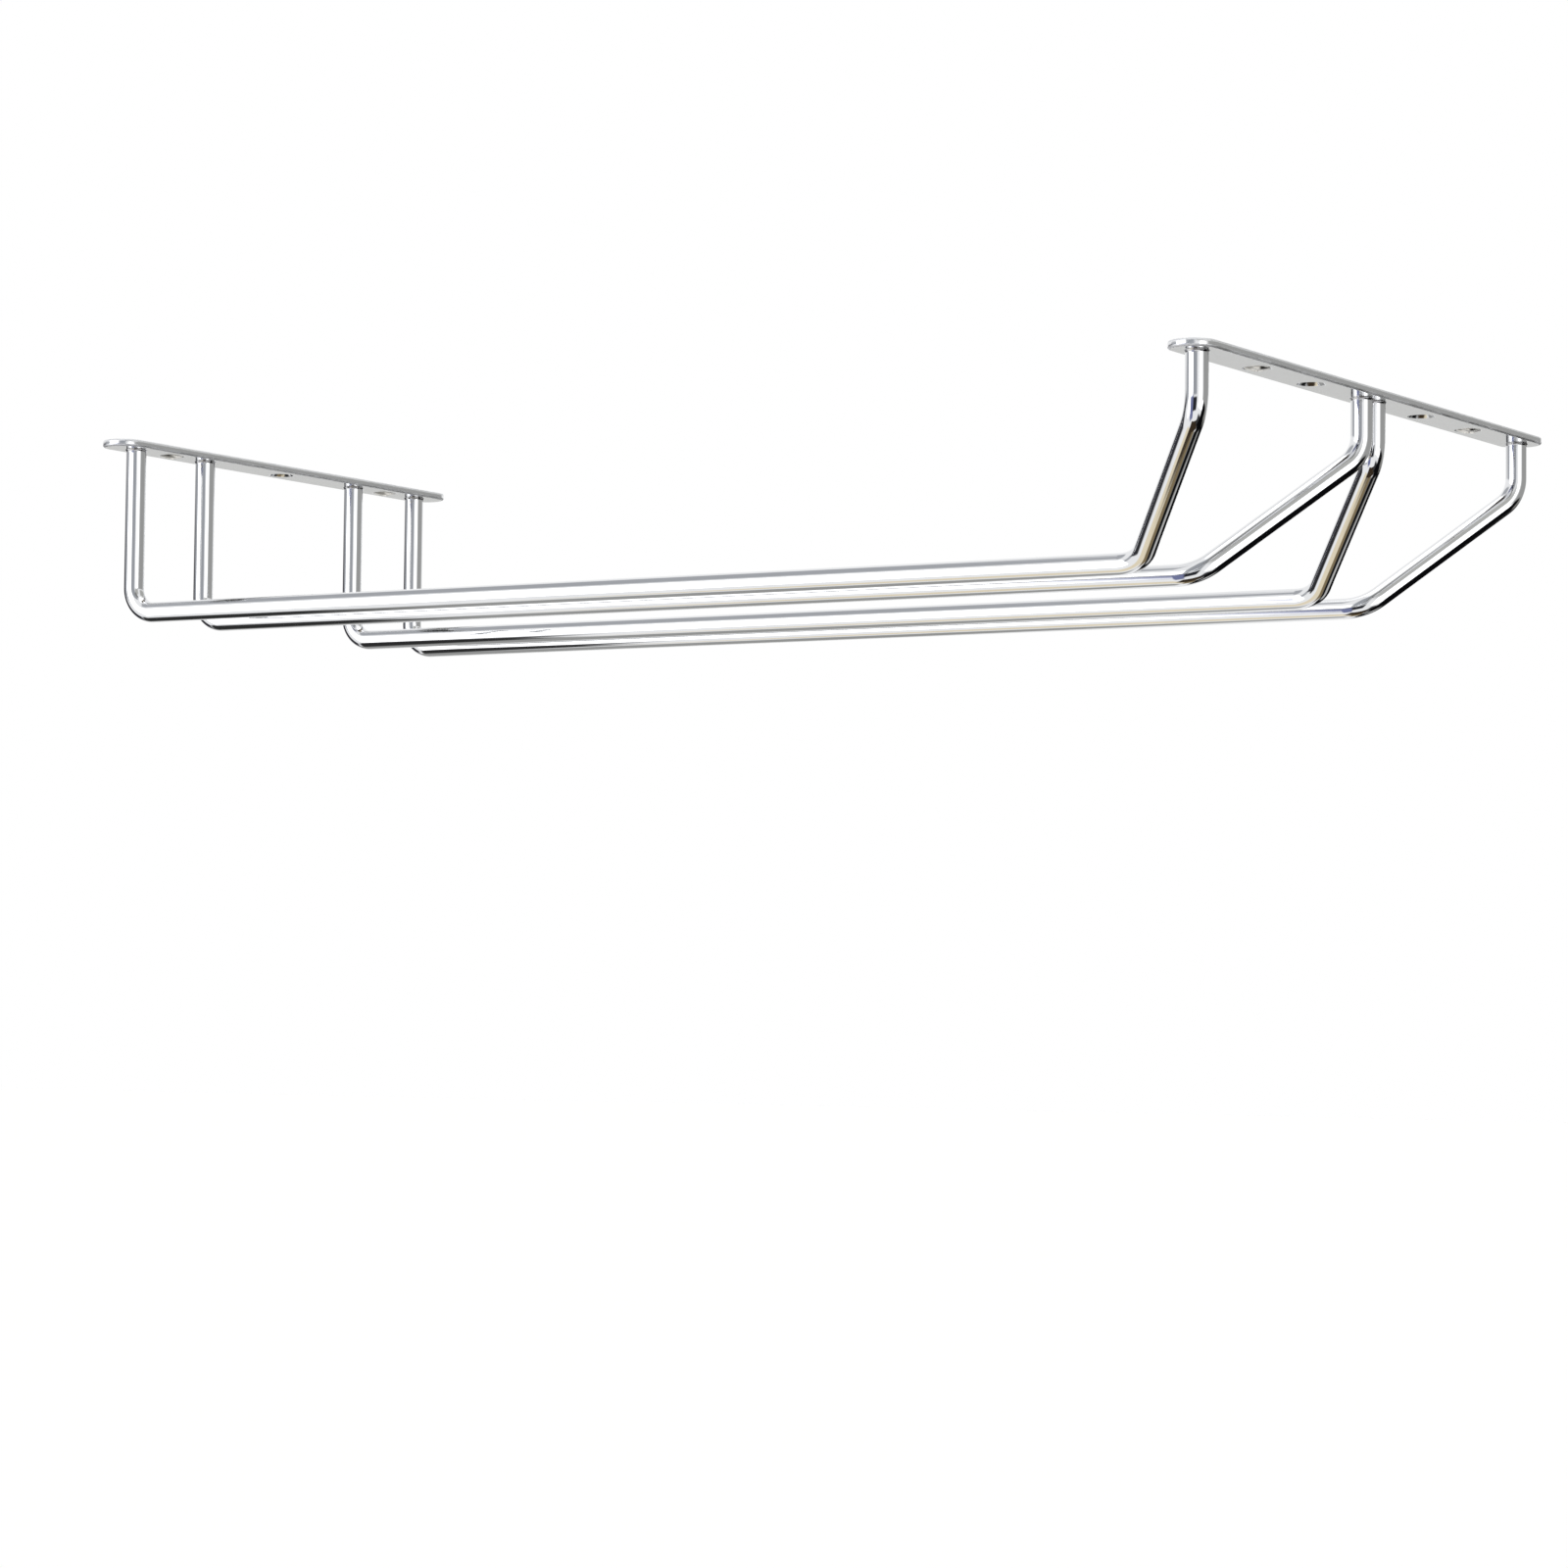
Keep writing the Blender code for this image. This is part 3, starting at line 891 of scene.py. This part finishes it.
def end_one_sided(tree, surface):
    """Ends the material with the surface, clear where it is seen from behind."""
    side = add_node(tree, "ShaderNodeNewGeometry")
    clear = add_node(tree, "ShaderNodeBsdfTransparent")
    mix = add_node(tree, "ShaderNodeMixShader", _0=side.outputs["Backfacing"], _1=surface.outputs[0],
                   _2=clear.outputs[0])
    add_node(tree, "ShaderNodeOutputMaterial", Surface=mix.outputs[0])


def glow(name, colour_value, feather):
    """A card that only the chrome sees: an even glow that fades out at the card's edges."""
    material, tree = new_material(name)
    spot = add_node(tree, "ShaderNodeAttribute", {"attribute_type": "GEOMETRY", "attribute_name": "on_card"})
    parts = add_node(tree, "ShaderNodeSeparateXYZ", Vector=spot.outputs["Vector"])
    fades = []
    for axis, width in zip("XY", feather):
        other = add_node(tree, "ShaderNodeMath", {"operation": "SUBTRACT"}, _0=1.0, _1=parts.outputs[axis])
        near = add_node(tree, "ShaderNodeMath", {"operation": "MINIMUM"}, _0=parts.outputs[axis],
                        _1=other.outputs[0])
        fades.append(add_node(tree, "ShaderNodeMapRange", {"interpolation_type": "SMOOTHSTEP"},
                              Value=near.outputs[0], From_Min=0.0, From_Max=width, To_Min=0.0, To_Max=1.0))
    fade = add_node(tree, "ShaderNodeMath", {"operation": "MULTIPLY"}, _0=fades[0].outputs[0],
                    _1=fades[1].outputs[0])
    light = add_node(tree, "ShaderNodeEmission", Color=rgba(colour_value), Strength=1.0)
    clear = add_node(tree, "ShaderNodeBsdfTransparent")
    mix = add_node(tree, "ShaderNodeMixShader", _0=fade.outputs[0], _1=clear.outputs[0], _2=light.outputs[0])
    add_node(tree, "ShaderNodeOutputMaterial", Surface=mix.outputs[0])
    return material


def card(settings, name, azimuths, heights, code, feather=(0.15, 0.15), reach=2.5, middle=RACK_MIDDLE):
    """A curved flat round a middle, seen only in the chrome, its sides given as way_out takes them."""
    def spot(u, v):
        azimuth = azimuths[0] + (azimuths[1] - azimuths[0]) * u
        height = heights[0] + (heights[1] - heights[0]) * v
        return Vector(middle) + reach * way_out(settings, azimuth, height)
    return shape_card(name, spot, code, feather)


def low_card(settings, name, rights, aheads, code, feather=(0.2, 0.2), drop=2.5):
    """A card that lies far below the rack, its sides given as shares of the drop, to the right and away."""
    ahead, right = way_out(settings, 0, 0), way_out(settings, 90, 0)

    def spot(u, v):
        across = rights[0] + (rights[1] - rights[0]) * u
        away = aheads[0] + (aheads[1] - aheads[0]) * v
        return drop * (right * across + ahead * away - Vector((0, 0, 1)))
    return shape_card(name, spot, code, feather)


def shape_card(name, spot, code, feather):
    deselect()
    bpy.ops.mesh.primitive_grid_add(x_subdivisions=CARD_STEPS[0], y_subdivisions=CARD_STEPS[1], size=1)
    flat = newest(name)
    places = []
    for point in flat.data.vertices:
        u, v = point.co.x + 0.5, point.co.y + 0.5
        point.co = spot(u, v)
        places += [u, v, 0.0]
    mark_points(flat, "on_card", places)
    flat.data.materials.append(glow(name.replace("_", " "), srgb(code), feather))
    flat.visible_camera = flat.visible_diffuse = flat.visible_shadow = flat.visible_transmission = False


def floor_paper(studio):
    """Matt white paper that keeps soft shadows, seen from above only, so that views from below show the rack."""
    material, tree = new_material("Matt white paper")
    place = add_node(tree, "ShaderNodeTexCoord").outputs["Object"]
    fibre = add_node(tree, "ShaderNodeTexNoise", Vector=place, Scale=1 / FIBRE_GAP, Detail=3.0)
    bump = add_node(tree, "ShaderNodeBump", Height=fibre.outputs[0], Strength=0.2, Distance=0.05 * MM)
    paper = add_node(tree, "ShaderNodeBsdfDiffuse", Color=rgba(studio.paper), Normal=bump.outputs[0])
    lift = add_node(tree, "ShaderNodeMath", {"operation": "MULTIPLY"}, _0=plain_sight(tree), _1=studio.paper_lift)
    white = add_node(tree, "ShaderNodeEmission", Color=(1, 1, 1, 1), Strength=lift.outputs[0])
    end_one_sided(tree, add_node(tree, "ShaderNodeAddShader", _0=paper.outputs[0], _1=white.outputs[0]))
    return material


def board_paint():
    """White painted cabinet underside, seen from below only, so that views from above show the rack's top."""
    material, tree = new_material("White painted board")
    end_one_sided(tree, add_node(tree, "ShaderNodeEmission", Color=(1, 1, 1, 1), Strength=1.0))
    return material


def set_floor(studio):
    deselect()
    bpy.ops.mesh.primitive_plane_add(size=FLOOR_SIZE, location=(0, 0, -studio.floor_drop))
    floor = bpy.context.object
    floor.name = "studio_floor"
    floor.data.materials.append(floor_paper(studio))
    floor.visible_glossy = False


def set_board():
    deselect()
    bpy.ops.mesh.primitive_plane_add(size=BOARD_SIZE, location=BOARD_PLACE, rotation=(pi, 0, 0))
    board = bpy.context.object
    board.name = "cabinet_board"
    board.data.materials.append(board_paint())
    board.visible_shadow = board.visible_diffuse = board.visible_glossy = False


def set_cards(settings):
    """What stands round the rack in the studio, as the chrome shows it."""
    card(settings, "camera_screen", (-145, -187), (-6, 60), "#A6A9AE", (0.18, 0.1), 1.24)
    card(settings, "camera_high_screen", (-166, -201), (24, 66), "#8C8C8A", (0.3, 0.25), 1.22)
    card(settings, "camera_low_screen", (-150, -188), (-36, -4), "#2C2D33", (0.15, 0.15), 1.24)
    card(settings, "blue_low_screen", (-121, -158), (-54, 2), "#7A80A6", (0.2, 0.15), 1.6)
    card(settings, "left_dark_screen", (-24, -74), (-38, 11), "#38383E", (0.15, 0.15))
    card(settings, "left_grey_screen", (-60, -106), (-6, 16), "#B4B6BA", (0.2, 0.3))
    card(settings, "ceiling_left", (-118, -28), (34, 68), "#B2B4B8", (0.15, 0.25))
    card(settings, "right_grey_screen", (26, 146), (-14, 18), "#A6A6A4", (0.27, 0.15), 2.15)
    card(settings, "right_high_grey", (118, 182), (7, 54), "#BEBEBA", (0.35, 0.3), 2.1)
    card(settings, "right_high_soft", (24, 116), (14, 66), "#B4B4B0", (0.25, 0.25), 2.2)
    card(settings, "right_dark_screen", (16, 120), (-66, 0), "#0C0C0E", (0.085, 0.10), 2.4)
    card(settings, "right_low_gap", (30, 60), (-56, -31), "#C4C4C2", (0.3, 0.3), 2.3)
    card(settings, "bar_side_grey", (52, 78), (-27, -2), "#8E8D88", (0.15, 0.2), 2.3)
    card(settings, "right_front_low_screen", (92, 152), (-68, -38), "#3A3A3C", (0.25, 0.25))
    card(settings, "behind_screen", (-30, 36), (-20, 0), "#CFCFCD", (0.12, 0.2))
    low_card(settings, "warm_table_left", (-0.80, 0.02), (-0.2, 0.26), "#F3E6C9", (0.12, 0.25))
    low_card(settings, "warm_table_middle", (-0.10, 0.34), (-0.05, 0.42), "#8A7A5C", (0.2, 0.2), 2.45)
    low_card(settings, "brown_table_near", (-0.45, 0.6), (-0.55, 0.06), "#3B3024", (0.15, 0.08), 2.42)
    low_card(settings, "grey_floor_ahead", (-0.95, 0.0), (0.26, 2.0), "#A2A2A0", (0.15, 0.1), 2.55)
    low_card(settings, "dark_table_right", (0.20, 1.3), (0.02, 1.6), "#121110", (0.12, 0.12), 2.4)
    card(settings, "rear_near_screen", (-84, -8), (-62, -28), "#303030", (0.2, 0.2), 0.22, (-0.0645, 0.13, -0.047))


def softbox(settings, name, azimuth, height, width, tall, level, reach=2.2):
    """A rectangular lamp that lights only the chrome, at a level of 1 as bright as white paper."""
    out = way_out(settings, azimuth, height)
    bpy.ops.object.light_add(type="AREA", location=RACK_MIDDLE + out * reach,
                             rotation=(-out).to_track_quat("-Z", "Y").to_euler())
    lamp = bpy.context.object
    lamp.name = lamp.data.name = name
    lamp.data.shape = "RECTANGLE"
    lamp.data.size = width
    lamp.data.size_y = tall
    lamp.data.energy = level * pi * width * tall
    lamp.visible_diffuse = False


def shadow_light(studio):
    """Soft light from high above, which casts the rack's shadow on the floor and doesn't show in the chrome."""
    bpy.ops.object.light_add(type="SUN", location=(0, 0, 2), rotation=SUN_TILT)
    lamp = bpy.context.object
    lamp.name = lamp.data.name = "top_light"
    lamp.data.angle = SUN_WIDTH
    lamp.data.energy = studio.top_light
    lamp.visible_glossy = False


def set_lamps(settings):
    softbox(settings, "left_softbox", azimuth=-121, height=-2, width=1.9, tall=2.5, level=1.3)
    softbox(settings, "right_softbox", azimuth=136, height=-9, width=1.8, tall=1.7, level=1.3)
    softbox(settings, "top_softbox", azimuth=0, height=89, width=1.6, tall=1.6, level=1.1, reach=2.6)
    shadow_light(settings.studio)


def set_world(scene, studio):
    """Soft light from all round, seen as plain white."""
    world = bpy.data.worlds.new("studio sky")
    scene.world = world
    world.use_nodes = True
    tree = world.node_tree
    tree.nodes.clear()
    level = add_node(tree, "ShaderNodeMapRange", Value=plain_sight(tree), From_Min=0.0, From_Max=1.0,
                     To_Min=studio.sky, To_Max=1.0)
    sky = add_node(tree, "ShaderNodeBackground", Color=(1, 1, 1, 1), Strength=level.outputs[0])
    add_node(tree, "ShaderNodeOutputWorld", Surface=sky.outputs[0])


def set_camera(scene, studio):
    turn = (Matrix.Rotation(studio.camera_yaw, 3, "Z") @ Matrix.Rotation(pi / 2 + studio.camera_pitch, 3, "X")
            @ Matrix.Rotation(studio.camera_roll, 3, "Z"))
    bpy.ops.object.camera_add(location=studio.camera_place, rotation=turn.to_euler())
    camera = bpy.context.object
    camera.name = "rack_camera"
    camera.data.lens = studio.lens
    camera.data.sensor_width = 36.0
    camera.data.sensor_fit = "AUTO"
    camera.data.clip_start = 0.05
    scene.camera = camera


class RACK_OT_set_stage(bpy.types.Operator):
    """Set up the floor, the board, the cards, the lamps and the camera"""

    bl_idname = "rack.set_stage"
    bl_label = "Set stage"

    def execute(self, context):
        settings = context.scene.rack
        set_floor(settings.studio)
        set_board()
        set_cards(settings)
        set_lamps(settings)
        set_world(context.scene, settings.studio)
        set_camera(context.scene, settings.studio)
        context.scene.view_settings.view_transform = "Standard"
        return {"FINISHED"}


class RACK_PT_panel(bpy.types.Panel):
    """Lists the steps of the rack's making"""

    bl_idname = "RACK_PT_panel"
    bl_label = "Glass Rack"
    bl_space_type = "VIEW_3D"
    bl_region_type = "UI"
    bl_category = "Glass Rack"

    def draw(self, context):
        for step in STEPS:
            self.layout.operator(step.bl_idname)
        settings = context.scene.rack
        for group in (settings.wire, settings.weld, settings.bar, settings.screw, settings.finish, settings.studio):
            box = self.layout.box()
            for name in group.bl_rna.properties.keys():
                if name not in ("rna_type", "name"):
                    box.prop(group, name)


GROUPS = (RackWireSizes, RackWeldSizes, RackBarSizes, RackScrewSizes, RackFinishes, RackStudio, RackSettings)
STEPS = (RACK_OT_bend_wires, RACK_OT_roll_bars, RACK_OT_weld_wires, RACK_OT_drive_screws, RACK_OT_set_stage)


def register():
    for item in GROUPS + STEPS + (RACK_PT_panel,):
        bpy.utils.register_class(item)
    bpy.types.Scene.rack = PointerProperty(type=RackSettings)


def unregister():
    del bpy.types.Scene.rack
    for item in reversed(GROUPS + STEPS + (RACK_PT_panel,)):
        bpy.utils.unregister_class(item)


def main():
    register()
    bpy.ops.rack.bend_wires()
    bpy.ops.rack.roll_bars()
    bpy.ops.rack.weld_wires()
    bpy.ops.rack.drive_screws()
    bpy.ops.rack.set_stage()
    deselect()


if __name__ == "__main__":
    main()
